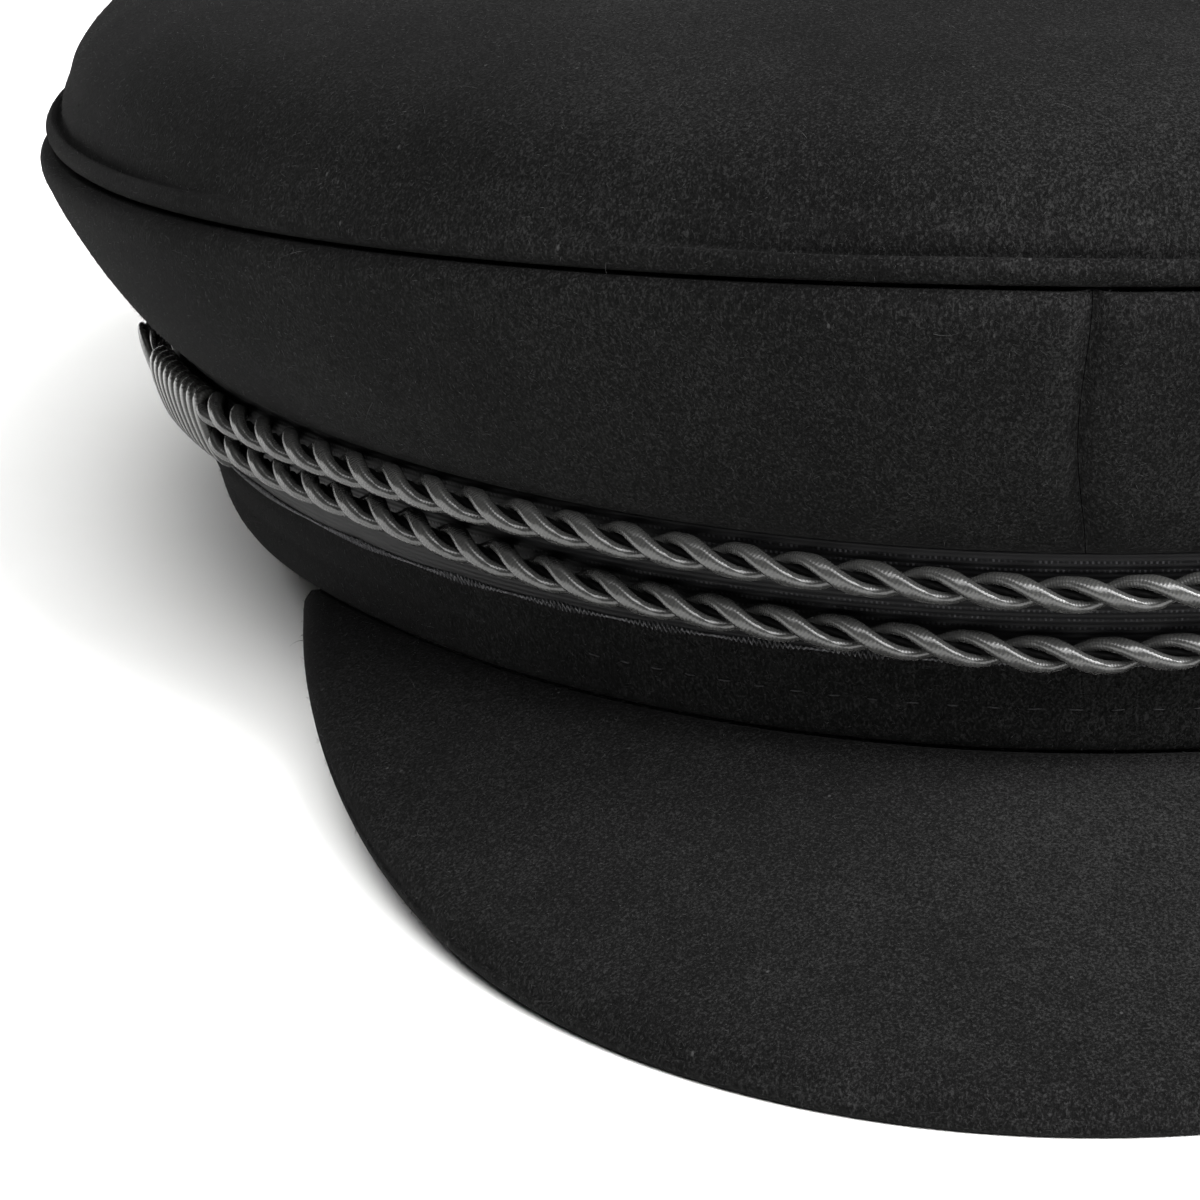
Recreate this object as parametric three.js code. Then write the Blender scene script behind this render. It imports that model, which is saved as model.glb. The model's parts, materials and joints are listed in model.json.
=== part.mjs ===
// A wool breton fisherman cap: a domed crown top, two crown sides, a head band, a woven ribbon with a
// doubled cord held at two side buttons, and a curved peak.
// Millimetres, +Z up, the peak towards -Y. The cap rests on the peak's front edge and the back of the band.
import * as THREE from "three";

const radians = THREE.MathUtils.degToRad;

// Clearance left between pieces that are sewn or laid together.
const gap = 0.3;

// Head band. Reaches are measured from the middle of the head opening.
const bandHalfWidth = 84.2;
const bandFrontReach = 110;
const bandBackReach = 99;
const bandHeight = 20.8;
const bandWall = 3;
const bandLeanDeg = 19.2;
const bandPinch = 0.055;
const bandEdgeRound = 0.5;
const frontLift = 18.6;
const floorSettle = 0.8;

// Crown. Seam heights are those of the seam between the top and the sides, above the floor.
const crownHalfWidth = 103;
const crownFrontReach = 131;
const crownBackReach = 112;
const crownPinch = 0.089;
const seamHeightFront = 67;
const seamHeightSide = 43.9;
const seamHeightBack = 34;
const crownWall = 2.2;
const sideOverlap = 1.6;
const sideSwell = 2.4;
const seamInset = 0.7;
const weltHeight = 2.6;
const weltWidth = 1.9;
const domeHeight = 25;
const domeFullness = 2.45;

// Peak.
const peakHalfSpanDeg = 62;
const peakReach = 46.8;
const peakThickness = 3.2;
const peakEdgeCurve = 6.9;
const peakSwell = 1.6;
const peakTuck = 2;
const peakTuckDrop = 0.7;
const peakEdgeRound = 0.9;
const peakEnd = 0.985;
const floorPress = 0.2;

// Ribbon, cord, keepers and buttons.
const ribbonWidth = 11.8;
const ribbonThickness = 0.9;
const cordRadius = 1.7;
const cordTightRadius = 1.1;
const keeperWall = 0.5;
const keeperRidge = 0.45;
const keeperTurns = 5;
const keeperStartDeg = 62.5;
const keeperEndDeg = 72.5;
const buttonRadius = 3.8;
const buttonShankRadius = 1.2;
const buttonThickness = 1.4;
const buttonDeg = 79;
const cordTaperDeg = 4;
const cordEndDeg = keeperEndDeg + 1;
const eyeHalfTurn = radians(120);

// Counts of facets.
const aroundHead = 64;
const peakColumns = 40;
const cordRunSteps = 50;
const cordEyeSteps = 8;
const cordSides = 8;
const keeperSides = 12;
const buttonSides = 16;

// Profile of a crown side from its lower edge up to the seam, as shares of its height and of its swell.
const sideProfile = [
  { rise: 0, swell: 0 },
  { rise: 0.08, swell: 0.3 },
  { rise: 0.3, swell: 0.8 },
  { rise: 0.55, swell: 1 },
  { rise: 0.8, swell: 0.92 },
  { rise: 0.94, swell: 0.6 },
  { rise: 1, swell: 0 },
];

// Raised rim of the crown top beside the seam, as shares of the welt's width and height.
const weltProfile = [
  { inward: 0.37, rise: 0 },
  { inward: 0.04, rise: 0.3 },
  { inward: 0.12, rise: 0.68 },
  { inward: 0.5, rise: 0.96 },
  { inward: 1, rise: 1 },
];

// Rings of the dome from the welt to its middle, as shares of the way in.
const domeRings = [0.012, 0.035, 0.075, 0.14, 0.24, 0.38, 0.58, 0.8];

// Ways out along the peak from the band to the edge.
const peakWays = [0, 0.12, 0.35, 0.65, 0.9, 1];

// Height of each run of the cord on the ribbon, as a share of the ribbon's width above its lower edge.
const cordRuns = [
  { angle: 0, upper: 0.675, lower: 0.142 },
  { angle: 15, upper: 0.748, lower: 0.244 },
  { angle: 33, upper: 0.82, lower: 0.368 },
  { angle: 48, upper: 0.83, lower: 0.5 },
  { angle: 57, upper: 0.8, lower: 0.49 },
];

// Outline of a button's head from its underside round the rim to its top, as shares of its sizes.
const buttonHead = [
  { radius: 0.92, rise: 0 },
  { radius: 1, rise: 0.25 },
  { radius: 0.85, rise: 0.62 },
  { radius: 0.5, rise: 0.92 },
];

const bandLean = Math.tan(radians(bandLeanDeg));
const slant = 1 / Math.cos(radians(bandLeanDeg));
const smallTurn = radians(0.1);

// Point on an oval outline, with 0 at the front and positive angles towards +X; the front half is pinched.
function outline(angle, halfWidth, frontReach, backReach, pinch) {
  const c = Math.cos(angle);
  const narrowed = c > 0 ? 1 - pinch * c * c : 1;
  const reach = c > 0 ? frontReach : backReach;
  return new THREE.Vector3(halfWidth * Math.sin(angle) * narrowed, -reach * c, 0);
}

// Point on the band's outer face: rise is the height up the face, out the distance in front of it.
function bandPoint(angle, rise, out = 0) {
  const spread = bandLean * rise + out;
  const point = outline(angle, bandHalfWidth + spread, bandFrontReach + spread, bandBackReach + spread, bandPinch);
  const tilt = frontLift / (bandFrontReach + bandBackReach);
  point.z = Math.max(0, (bandBackReach - point.y) * tilt - floorSettle) + rise;
  return point;
}

// Height of the seam between the crown's top and sides: a parabola through the three seam heights.
function seamHeight(y) {
  const front = (seamHeightFront - seamHeightSide) / crownFrontReach;
  const back = (seamHeightBack - seamHeightSide) / crownBackReach;
  const bend = (front + back) / (crownFrontReach + crownBackReach);
  return seamHeightSide + (bend * crownFrontReach - front) * y + bend * y * y;
}

// Point on that seam.
function seamPoint(angle) {
  const point = outline(angle, crownHalfWidth, crownFrontReach, crownBackReach, crownPinch);
  point.z = seamHeight(point.y);
  return point;
}

// Level direction straight out of an outline at an angle.
function outward(pointAt, angle) {
  const along = pointAt(angle + smallTurn).sub(pointAt(angle - smallTurn));
  return new THREE.Vector3(-along.y, along.x, 0).normalize().negate();
}

// Triangles over a grid of points, rows[i][j], which may close on itself either way.
function gridFaces(rowCount, columnCount, closeRows, closeColumns) {
  const faces = [];
  const lastRow = closeRows ? rowCount : rowCount - 1;
  const lastColumn = closeColumns ? columnCount : columnCount - 1;
  for (let i = 0; i < lastRow; i++) {
    for (let j = 0; j < lastColumn; j++) {
      const a = i * columnCount + j;
      const b = i * columnCount + ((j + 1) % columnCount);
      const c = ((i + 1) % rowCount) * columnCount + ((j + 1) % columnCount);
      const d = ((i + 1) % rowCount) * columnCount + j;
      faces.push([a, b, c], [a, c, d]);
    }
  }
  return faces;
}

// Triangles that fill a ring of points by joining opposite pairs; order lists the ring's point numbers.
function stripFaces(order) {
  const faces = [];
  const last = order.length - 1;
  for (let k = 0; 2 * k + 1 < last; k++) {
    faces.push([order[k], order[k + 1], order[last - k]]);
    if (k + 1 < last - k - 1) faces.push([order[k + 1], order[last - k - 1], order[last - k]]);
  }
  return faces;
}

// Closed mesh of points and triangles, turned so that its faces point out.
function solidMesh(name, points, faces, look) {
  let volume = 0;
  for (const [a, b, c] of faces) {
    volume += points[a].dot(new THREE.Vector3().crossVectors(points[b], points[c]));
  }
  const turned = volume < 0 ? faces.map(([a, b, c]) => [a, c, b]) : faces;
  const geometry = new THREE.BufferGeometry();
  geometry.setAttribute("position", new THREE.Float32BufferAttribute(points.flatMap((p) => p.toArray()), 3));
  geometry.setIndex(turned.flat());
  geometry.computeVertexNormals();
  const mesh = new THREE.Mesh(geometry, new THREE.MeshStandardMaterial(look));
  mesh.name = name;
  return mesh;
}

// Wall that runs all the way round, or a ring of any section: rows go round the section.
function ringMesh(name, rows, look) {
  return solidMesh(name, rows.flat(), gridFaces(rows.length, rows[0].length, true, true), look);
}

// Wall with two ends: rows go round the section, columns along the wall.
function openMesh(name, rows, look) {
  const columns = rows[0].length;
  const faces = gridFaces(rows.length, columns, true, false);
  const start = rows.map((_, i) => i * columns);
  const end = rows.map((_, i) => i * columns + columns - 1).reverse();
  return solidMesh(name, rows.flat(), [...faces, ...stripFaces(start), ...stripFaces(end)], look);
}

// Shell or knob closed by a point at each end: rows are rings from the first point to the last.
function poleMesh(name, firstPole, rows, lastPole, look) {
  const columns = rows[0].length;
  const faces = gridFaces(rows.length, columns, false, true);
  const points = [...rows.flat(), firstPole, lastPole];
  const lastRow = (rows.length - 1) * columns;
  for (let j = 0; j < columns; j++) {
    const next = (j + 1) % columns;
    faces.push([points.length - 2, next, j], [points.length - 1, lastRow + j, lastRow + next]);
  }
  return solidMesh(name, points, faces, look);
}

const wool = { color: 0x16171c, roughness: 1, metalness: 0 };
const black = { color: 0x0e0e10, roughness: 0.7, metalness: 0 };
const silverGrey = { color: 0x8d8d8f, roughness: 0.55, metalness: 0 };

const headAngles = Array.from({ length: aroundHead }, (_, i) => (i * 2 * Math.PI) / aroundHead);

function headBand() {
  const section = [
    { rise: bandEdgeRound, out: 0 },
    { rise: bandHeight, out: 0 },
    { rise: bandHeight, out: -bandWall },
    { rise: bandEdgeRound, out: -bandWall },
    { rise: 0, out: -bandWall + bandEdgeRound },
    { rise: 0, out: -bandEdgeRound },
  ];
  const rows = section.map((s) => headAngles.map((angle) => bandPoint(angle, s.rise, s.out)));
  return ringMesh("head_band", rows, wool);
}

const ribbonLow = bandHeight - ribbonWidth;
const ribbonFace = (gap + ribbonThickness) * slant;

function ribbon() {
  const section = [
    { rise: ribbonLow, out: gap * slant },
    { rise: bandHeight, out: gap * slant },
    { rise: bandHeight, out: ribbonFace },
    { rise: ribbonLow, out: ribbonFace },
  ];
  const rows = section.map((s) => headAngles.map((angle) => bandPoint(angle, s.rise, s.out)));
  return ringMesh("ribbon", rows, black);
}

// Point on a crown side's outer face, or in its wall by depth.
function sidePoint(angle, profile, depth) {
  const out = outward(seamPoint, angle);
  const foot = bandPoint(angle, bandHeight + gap, sideOverlap - depth);
  const head = seamPoint(angle).addScaledVector(out, -seamInset - depth);
  head.z = seamHeight(head.y) - gap / 2;
  return foot.lerp(head, profile.rise).addScaledVector(out, sideSwell * profile.swell);
}

function crownSide(name, side) {
  const angles = Array.from({ length: aroundHead / 2 + 1 }, (_, i) => (side * i * 2 * Math.PI) / aroundHead);
  const shift = new THREE.Vector3((side * gap) / 2, 0, 0);
  const rowAt = (profile, depth) => angles.map((angle) => sidePoint(angle, profile, depth).add(shift));
  const outer = sideProfile.map((profile) => rowAt(profile, 0));
  const inner = sideProfile.map((profile) => rowAt(profile, crownWall)).reverse();
  return openMesh(name, [...outer, ...inner], wool);
}

// Point on the crown top's outer face: inward is the way in from the seam, rise the height above it.
function topPoint(angle, inward, rise) {
  const point = seamPoint(angle);
  const share = 1 - inward / crownHalfWidth;
  point.x *= share;
  point.y *= share;
  point.z = seamHeight(point.y) + gap / 2 + rise;
  return point;
}

// Height of the dome above the seam at a share of the way from the welt to the middle.
function domeRise(share) {
  return weltHeight + domeHeight * Math.pow(1 - Math.pow(1 - share, domeFullness), 1 / domeFullness);
}

function crownTop() {
  const domeWidth = crownHalfWidth - weltWidth;
  const ring = (inward, rise) => headAngles.map((angle) => topPoint(angle, inward, rise));
  const dome = domeRings.map((share) => ({ inward: weltWidth + share * domeWidth, rise: domeRise(share) }));
  const welt = weltProfile.map((w) => ({ inward: w.inward * weltWidth, rise: w.rise * weltHeight }));
  const outer = [...welt, ...dome];
  const inner = [{ inward: seamInset + crownWall, rise: 0 }];
  dome.forEach((here, i) => {
    const before = i > 0 ? dome[i - 1] : welt[welt.length - 1];
    const slope = Math.atan2(here.rise - before.rise, here.inward - before.inward);
    const inward = here.inward + crownWall * Math.sin(slope);
    inner.push({ inward, rise: here.rise - crownWall * Math.cos(slope) });
  });
  const rows = [...outer.reverse(), ...inner].map((p) => ring(p.inward, p.rise));
  const apex = topPoint(0, crownHalfWidth, domeRise(1));
  const innerApex = topPoint(0, crownHalfWidth, domeRise(1) - crownWall);
  return poleMesh("crown_top", apex, rows, innerApex, wool);
}

// Peak: columns run round the front of the band, and each column runs from the band out to the edge.
function peak() {
  const halfSpan = radians(peakHalfSpanDeg);
  const corner = bandPoint(halfSpan, 0, gap);
  const depth = bandFrontReach + peakReach - peakEdgeRound + corner.y;
  const bandEdge = (angle) => bandPoint(angle, 0, gap);
  const shares = Array.from({ length: peakColumns + 1 }, (_, i) => (peakEnd * (2 * i - peakColumns)) / peakColumns);

  const columnAt = (share) => {
    const turn = (share * Math.PI) / 2;
    const inner = bandEdge(share * halfSpan);
    inner.z -= gap;
    const edge = new THREE.Vector3(corner.x * Math.sin(turn), corner.y - depth * Math.cos(turn), 0);
    const lift = Math.pow(Math.abs(Math.sin(turn)), peakEdgeCurve);
    edge.z = (corner.z - gap) * lift + (peakThickness - floorPress) * (1 - lift);
    const out = outward(bandEdge, share * halfSpan);
    const slope = Math.atan2(inner.z - edge.z, Math.max(edge.clone().sub(inner).dot(out), peakThickness));
    const inwards = out.multiplyScalar(-peakThickness * Math.sin(slope));
    const through = inwards.setZ(-peakThickness * Math.cos(slope));
    return { inner, edge, through, lift, swell: (peakSwell * inner.distanceTo(edge)) / peakReach };
  };

  const topPointOf = ({ inner, edge, swell }, way) => {
    const point = inner.clone().lerp(edge, way);
    point.z += 4 * swell * way * (1 - way);
    return point;
  };
  const bottomPointOf = (column, way) => {
    const point = topPointOf(column, way).add(column.through);
    point.z = Math.max(0, point.z);
    return point;
  };

  const columns = shares.map(columnAt);
  const top = peakWays.map((way) => columns.map((column) => topPointOf(column, way)));
  const edge = columns.map((column) => {
    const nose = topPointOf(column, 1).addScaledVector(column.through, 0.5);
    const ahead = nose.clone().sub(column.inner).setZ(0).normalize();
    return nose.addScaledVector(ahead, peakEdgeRound * (1 - column.lift));
  });
  const bottom = peakWays.slice(1).map((way) => columns.map((column) => bottomPointOf(column, way)));
  const root = shares.map((share) => {
    const tuck = bandPoint(share * halfSpan, 0, gap - peakTuck);
    tuck.z -= gap + peakThickness * peakTuckDrop;
    return tuck;
  });
  return openMesh("peak", [...top, edge, ...bottom.reverse(), root], wool);
}

// Height of the keepers' and buttons' middle up the band's face.
const fastenRise = ribbonLow + (ribbonWidth * (cordRuns.at(-1).upper + cordRuns.at(-1).lower)) / 2;
const tightHalfSpacing = cordTightRadius + gap / 2;
const keptCordOut = ribbonFace + (2 * gap + keeperWall + cordTightRadius) * slant;
const eyeCordOut = ribbonFace + (gap + cordTightRadius) * slant;

// Straight-line reading of the table of cord runs at an angle in degrees.
function runShare(angle, run) {
  const at = cordRuns.findIndex((row) => row.angle >= angle);
  if (at < 0) return cordRuns.at(-1)[run];
  if (at === 0) return cordRuns[0][run];
  const [before, after] = [cordRuns[at - 1], cordRuns[at]];
  return THREE.MathUtils.mapLinear(angle, before.angle, after.angle, before[run], after[run]);
}

// One station of a run of the cord: it thins and closes up as it goes into a keeper.
function runStation(degrees, run) {
  const size = Math.abs(degrees);
  const tightFrom = keeperStartDeg - (2 * cordEndDeg) / cordRunSteps;
  const tight = THREE.MathUtils.smoothstep(size, tightFrom - cordTaperDeg, tightFrom);
  const side = run === "upper" ? 1 : -1;
  const free = ribbonLow + ribbonWidth * runShare(size, run);
  return {
    angle: radians(degrees),
    rise: THREE.MathUtils.lerp(free, fastenRise + side * tightHalfSpacing, tight),
    radius: THREE.MathUtils.lerp(cordRadius, cordTightRadius, tight),
    out: THREE.MathUtils.lerp(ribbonFace + (gap + cordRadius) * slant, keptCordOut, tight),
  };
}

// Stations of the eye round a button, from the upper run to the lower on the +X side and back on the other.
function eyeStations(side) {
  const eye = buttonShankRadius + gap + cordTightRadius;
  const middle = radians(buttonDeg);
  const nearby = bandPoint(middle + smallTurn, 0).distanceTo(bandPoint(middle - smallTurn, 0));
  const span = nearby / (2 * smallTurn);
  return Array.from({ length: cordEyeSteps + 1 }, (_, i) => {
    const turn = side * eyeHalfTurn * (1 - (2 * i) / cordEyeSteps);
    return {
      angle: side * (middle + (eye * Math.cos(turn)) / span),
      rise: fastenRise + eye * Math.sin(turn),
      radius: cordTightRadius,
      out: eyeCordOut,
    };
  });
}

// Face directions of the band at an angle: straight out of its face, and level along it.
function faceDirections(angle) {
  const level = outward((a) => bandPoint(a, 0), angle);
  const face = level.clone().divideScalar(slant).setZ(-bandLean / slant);
  return { face, upward: level.multiplyScalar(bandLean / slant).setZ(1 / slant) };
}

// The doubled cord: one closed loop, over the front above and below, and round both buttons.
function cord() {
  const run = (name, side) =>
    Array.from({ length: cordRunSteps + 1 }, (_, i) =>
      runStation(side * cordEndDeg * ((2 * i) / cordRunSteps - 1), name),
    );
  const stations = [...run("upper", 1), ...eyeStations(1), ...run("lower", -1), ...eyeStations(-1)];
  const centres = stations.map((s) => bandPoint(s.angle, s.rise, s.out));
  const count = stations.length;
  const rows = stations.map((station, i) => {
    const along = centres[(i + 1) % count].clone().sub(centres[(i + count - 1) % count]).normalize();
    const across = along.clone().cross(faceDirections(station.angle).face).normalize();
    const outer = across.clone().cross(along);
    return Array.from({ length: cordSides }, (_, j) => {
      const turn = (2 * Math.PI * j) / cordSides;
      const point = centres[i].clone().addScaledVector(outer, station.radius * Math.cos(turn));
      return point.addScaledVector(across, station.radius * Math.sin(turn));
    });
  });
  return ringMesh("cord", rows, silverGrey);
}

// Wound sleeve that holds both runs together beside a button.
function keeper(name, side) {
  const stations = Array.from({ length: 2 * keeperTurns + 1 }, (_, i) => {
    const share = i / (2 * keeperTurns);
    return { angle: side * radians(keeperStartDeg + share * (keeperEndDeg - keeperStartDeg)), ridge: i % 2 };
  });
  const ringAt = (station, wall, ridge) =>
    Array.from({ length: keeperSides }, (_, j) => {
      const turn = (2 * Math.PI * (j + 0.5)) / keeperSides;
      const half = Math.sin(turn) > 0 ? 1 : -1;
      const centre = bandPoint(station.angle, fastenRise + half * tightHalfSpacing, keptCordOut);
      const { face, upward } = faceDirections(station.angle);
      const reach = cordTightRadius + gap + wall + (ridge * (1 + Math.cos(turn))) / 2;
      return centre.addScaledVector(face, reach * Math.cos(turn)).addScaledVector(upward, reach * Math.sin(turn));
    });
  const outer = stations.map((station) => ringAt(station, keeperWall, keeperRidge * station.ridge));
  const inner = stations.filter((station) => station.ridge === 0).map((station) => ringAt(station, 0, 0));
  return ringMesh(name, [...outer, ...inner.reverse()], silverGrey);
}

// Small domed button on a shank that stands in the cord's eye.
function button(name, side) {
  const angle = side * radians(buttonDeg);
  const middle = bandPoint(angle, fastenRise, eyeCordOut);
  const { face, upward } = faceDirections(angle);
  const across = upward.clone().cross(face);
  const foot = -cordTightRadius;
  const underside = cordTightRadius + gap;
  const outlineRows = [
    { radius: buttonShankRadius, rise: foot },
    { radius: buttonShankRadius, rise: underside },
    ...buttonHead.map((row) => ({
      radius: buttonRadius * row.radius,
      rise: underside + buttonThickness * row.rise,
    })),
  ];
  const ring = (row) =>
    Array.from({ length: buttonSides }, (_, j) => {
      const turn = (2 * Math.PI * j) / buttonSides;
      const point = middle.clone().addScaledVector(face, row.rise);
      point.addScaledVector(upward, row.radius * Math.cos(turn));
      return point.addScaledVector(across, row.radius * Math.sin(turn));
    });
  const base = middle.clone().addScaledVector(face, foot);
  const top = middle.clone().addScaledVector(face, underside + buttonThickness);
  return poleMesh(name, base, outlineRows.map(ring), top, silverGrey);
}

const group = new THREE.Group();
group.add(headBand(), ribbon(), crownTop(), crownSide("crown_side_left", -1), crownSide("crown_side_right", 1));
group.add(peak(), cord(), keeper("keeper_left", -1), keeper("keeper_right", 1));
group.add(button("button_left", -1), button("button_right", 1));

const extent = new THREE.Box3().setFromObject(group);
group.position.y = -(extent.min.y + extent.max.y) / 2;

export default group;
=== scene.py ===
import bpy
import json
import math
import numpy as np
from functools import partial
from mathutils import Matrix, Vector, noise

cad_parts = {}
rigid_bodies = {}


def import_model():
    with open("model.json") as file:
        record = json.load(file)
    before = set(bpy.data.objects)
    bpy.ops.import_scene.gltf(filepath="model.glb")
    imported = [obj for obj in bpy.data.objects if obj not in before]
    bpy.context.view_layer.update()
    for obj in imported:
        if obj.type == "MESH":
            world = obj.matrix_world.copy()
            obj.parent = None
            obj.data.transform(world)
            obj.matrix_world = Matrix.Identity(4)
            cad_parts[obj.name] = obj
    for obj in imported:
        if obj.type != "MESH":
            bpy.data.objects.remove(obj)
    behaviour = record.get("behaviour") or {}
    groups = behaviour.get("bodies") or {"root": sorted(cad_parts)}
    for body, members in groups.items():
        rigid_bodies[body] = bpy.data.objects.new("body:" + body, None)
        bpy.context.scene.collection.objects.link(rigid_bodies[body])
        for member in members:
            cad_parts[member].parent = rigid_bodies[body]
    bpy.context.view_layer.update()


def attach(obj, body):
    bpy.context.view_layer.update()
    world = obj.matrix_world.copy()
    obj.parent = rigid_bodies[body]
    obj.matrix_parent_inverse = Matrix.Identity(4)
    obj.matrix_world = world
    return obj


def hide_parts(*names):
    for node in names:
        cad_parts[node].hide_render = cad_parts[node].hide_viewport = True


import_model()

print("frame loaded")


def addObject(name, data):
    made = bpy.data.objects.new(name, data)
    bpy.context.scene.collection.objects.link(made)
    return made


def linear(hexColour):
    parts = [int(hexColour[i : i + 2], 16) / 255 for i in (1, 3, 5)]
    return tuple(p / 12.92 if p <= 0.04045 else ((p + 0.055) / 1.055) ** 2.4 for p in parts) + (1,)


nodeFamilies = ("ShaderNode", "GeometryNode", "FunctionNode", "Node")


# adds a node, its kind named without its family but with its operation: settings go on it, and its inputs,
# by name or in order, get a value, a colour as hex text, or a link from a socket or a node's first output
def addNode(tree, kind, inputs=(), stops=(), **settings):
    kind, *operation = kind.split()
    node = tree.nodes.new(next(f + kind for f in nodeFamilies if hasattr(bpy.types, f + kind)))
    if operation:
        node.operation = operation[0]
    for name, value in settings.items():
        setattr(node, name, value)
    for key, value in inputs.items() if isinstance(inputs, dict) else enumerate(inputs):
        if isinstance(value, bpy.types.Node):
            value = value.outputs[0]
        if isinstance(value, bpy.types.NodeSocket):
            tree.links.new(value, node.inputs[key])
        elif isinstance(value, str) and value.startswith("#"):
            node.inputs[key].default_value = linear(value)
        else:
            node.inputs[key].default_value = value
    if stops:  # of a colour ramp, each a place and a colour
        ramp = node.color_ramp.elements
        for place, _ in stops[1:-1]:
            ramp.new(place)
        for stop, (place, colour) in zip(ramp, stops):
            stop.position, stop.color = place, linear(colour)
    return node


def newMaterial(name):
    material = bpy.data.materials.new(name)
    material.use_nodes = True
    material.node_tree.nodes.clear()
    return material, partial(addNode, material.node_tree)


# camera, floor and light

photoCamera = {
    "place": (-0.010623, -0.725380, 0.257667),
    "turnDeg": -2.843,  # away from straight ahead, which is +Y, towards +X
    "downDeg": 19.525,
    "rollDeg": -0.319,
    "lens": 229.17,  # a long lens close in, as for a detail picture
    "sensorWidth": 36,
    "clip": (0.01, 20),
}


def makeCamera(form):
    turn, down, roll = (math.radians(form[key]) for key in ("turnDeg", "downDeg", "rollDeg"))
    ahead = Vector((math.sin(turn) * math.cos(down), math.cos(turn) * math.cos(down), -math.sin(down)))
    level = Vector((math.cos(turn), -math.sin(turn), 0))
    above = level.cross(ahead)
    right = level * math.cos(roll) + above * math.sin(roll)
    up = above * math.cos(roll) - level * math.sin(roll)
    data = bpy.data.cameras.new("photoCamera")
    data.lens, data.sensor_width = form["lens"], form["sensorWidth"]
    data.clip_start, data.clip_end = form["clip"]
    camera = addObject("photoCamera", data)
    turned = Matrix((right, up, -ahead)).transposed().to_4x4()
    camera.matrix_world = Matrix.Translation(form["place"]) @ turned
    bpy.context.scene.camera = camera


studio = {
    "floorSize": 8,
    "floorColours": ("#f6f6f4", "#fafaf9"),
    "floorFibre": 60,  # patches of tone to a metre
    "worldColour": "#ffffff",
    "worldStrength": 0.02,
    "lights": [
        # name, place, aimed at, width, depth, watts
        ("frontSoftbox", (0, -1.3, 1.6), (0, -0.05, 0.03), 1.2, 1.2, 40),
        ("keySoftbox", (0.9, -0.9, 1.3), (0, -0.05, 0.03), 1.2, 1.2, 84),
        ("sideStrip", (1.25, -0.35, 0.95), (0, -0.08, 0.04), 0.4, 0.4, 34),
        ("fillSoftbox", (-0.7, -0.7, 1.9), (0, -0.05, 0.03), 1.2, 1.2, 23),
        ("backSoftbox", (0.3, 1.3, 1.1), (0, 0.06, 0.03), 1.2, 1.2, 8),
    ],
}


def makeStudio(form):
    half = form["floorSize"] / 2
    mesh = bpy.data.meshes.new("studioFloor")
    corners = [(-half, -half, 0), (half, -half, 0), (half, half, 0), (-half, half, 0)]
    mesh.from_pydata(corners, [], [(0, 1, 2, 3)])
    floor = addObject("studioFloor", mesh)
    material, add = newMaterial("seamlessPaper")  # matt white background paper, rolled: an even pale field
    place = add("TexCoord").outputs["Object"]
    fibre = add("TexNoise", {"Vector": place, "Scale": form["floorFibre"], "Detail": 3})
    darker, paler = form["floorColours"]
    tone = add("Mix", {"Factor": fibre, 6: darker, 7: paler}, data_type="RGBA")
    shader = add("BsdfPrincipled", {"Base Color": tone.outputs[2], "Roughness": 0.9})
    add("OutputMaterial", {"Surface": shader})
    mesh.materials.append(material)
    for name, place, target, width, depth, power in form["lights"]:
        data = bpy.data.lights.new(name, "AREA")
        data.shape, data.size, data.size_y, data.energy = "RECTANGLE", width, depth, power
        light = addObject(name, data)
        light.location = place
        light.rotation_euler = (Vector(target) - Vector(place)).to_track_quat("-Z", "Y").to_euler()
    world = bpy.data.worlds.new("studioAir")
    world.use_nodes = True
    air = world.node_tree.nodes["Background"].inputs
    air["Color"].default_value = linear(form["worldColour"])
    air["Strength"].default_value = form["worldStrength"]
    bpy.context.scene.world = world
    bpy.context.scene.view_settings.view_transform = "Standard"  # a white floor stays white


makeCamera(photoCamera)
makeStudio(studio)
print("camera and studio ready")

# materials

woolLook = {
    "shadow": "#030303",
    "body": "#0a0a0a",
    "raisedLit": "#1f1f1f",
    "lint": "#3c3c3c",
    "grain": 0.00022,  # milled fibres tangle into grains of about 0.3 mm
    "lean": (0.5, 0.35, 0.6),  # the nap lies over to one side
    "mottle": 0.0035,
    "mottleShare": 0.14,
    "cloud": 0.030,
    "cloudShare": 0.3,
    "heights": (0.9, 1.54),  # where the tone is darkest and where it is palest
    "lintSpacing": 0.0042,
    "lintRadii": (0.045, 0.02),  # where a speck ends and is full, as shares of the spacing
    "lintShare": 0.5,
    "bump": 0.00007,
}


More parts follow.
